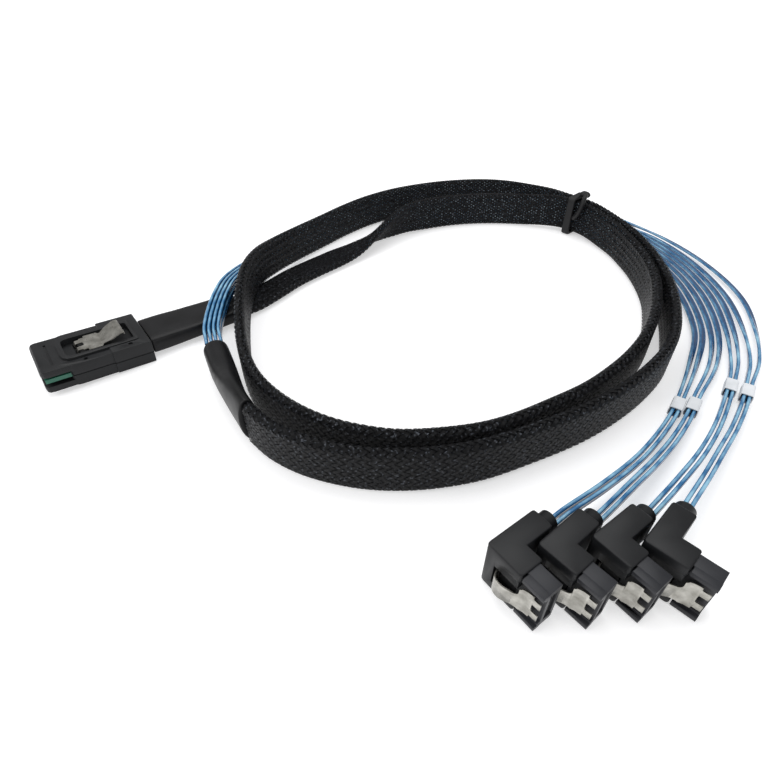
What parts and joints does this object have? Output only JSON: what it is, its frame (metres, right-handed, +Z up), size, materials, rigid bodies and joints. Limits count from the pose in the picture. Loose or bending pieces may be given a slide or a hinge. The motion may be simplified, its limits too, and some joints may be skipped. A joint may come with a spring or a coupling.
{
  "type": "mini sas breakout cable",
  "caption": "Flat braided cable coiled in two turns, with a wide latched host plug at one end and thin ribbon wires fanning out to right-angle drive plugs.",
  "frame": {"origin": "middle in plan of the box round the plugs, heat-shrinks, labels and tie, on the surface the cable lies on", "axes": "+Z up from that surface, +Y from the drive plugs towards the far side of the coil, +X to the side away from the host plug"},
  "size_m": [0.2773, 0.2536, 0.0214],
  "materials": {
    "housing": "satin",
    "block": "satin",
    "shrink": "satin",
    "braid": "woven monofilament",
    "latch_steel": "plain",
    "card": "solder mask with gold pads",
    "wire": "gloss",
    "label": "satin",
    "wafer": "matte",
    "tie": "matte"
  },
  "bodies": {
    "cable": {"host_plug_upper_shell": "housing", "host_plug_lower_shell": "housing", "host_plug_paddle_card": "card", "host_plug_heat_shrink": "shrink", "braided_sleeve": "braid", "breakout_heat_shrink": "shrink", "coil_tie": "tie", "wire_1a": "wire", "wire_1b": "wire", "wire_2a": "wire", "wire_2b": "wire", "wire_3a": "wire", "wire_3b": "wire", "wire_4a": "wire", "wire_4b": "wire", "label_1": "label", "drive_plug_1_boot": "housing", "drive_plug_1_block": "block", "drive_plug_1_contacts": "wafer", "label_2": "label", "drive_plug_2_boot": "housing", "drive_plug_2_block": "block", "drive_plug_2_contacts": "wafer", "label_3": "label", "drive_plug_3_boot": "housing", "drive_plug_3_block": "block", "drive_plug_3_contacts": "wafer", "label_4": "label", "drive_plug_4_boot": "housing", "drive_plug_4_block": "block", "drive_plug_4_contacts": "wafer"},
    "host_latch": {"host_plug_latch": "latch_steel"},
    "drive_latch_1": {"drive_plug_1_latch": "latch_steel"},
    "drive_latch_2": {"drive_plug_2_latch": "latch_steel"},
    "drive_latch_3": {"drive_plug_3_latch": "latch_steel"},
    "drive_latch_4": {"drive_plug_4_latch": "latch_steel"}
  },
  "joints": [
    {"name": "host_latch_press", "type": "hinge", "parent": "cable", "child": "host_latch", "pos_m": [-0.10857, -0.01221, 0.00607], "axis": [-0.606, 0.7955, 0], "range_deg": [0, 5], "stiffness_Nm_per_rad": 0.3},
    {"name": "drive_latch_1_press", "type": "hinge", "parent": "cable", "child": "drive_latch_1", "pos_m": [0.02743, -0.09617, 0.0075], "axis": [0, 0, 1], "range_deg": [0, 4], "stiffness_Nm_per_rad": 0.2},
    {"name": "drive_latch_2_press", "type": "hinge", "parent": "cable", "child": "drive_latch_2", "pos_m": [0.03902, -0.09609, 0.0075], "axis": [0, 0, 1], "range_deg": [0, 4], "stiffness_Nm_per_rad": 0.2},
    {"name": "drive_latch_3_press", "type": "hinge", "parent": "cable", "child": "drive_latch_3", "pos_m": [0.05172, -0.09428, 0.0075], "axis": [0, 0, 1], "range_deg": [0, 4], "stiffness_Nm_per_rad": 0.2},
    {"name": "drive_latch_4_press", "type": "hinge", "parent": "cable", "child": "drive_latch_4", "pos_m": [0.06346, -0.09493, 0.0075], "axis": [0, 0, 1], "range_deg": [0, 4], "stiffness_Nm_per_rad": 0.2}
  ]
}
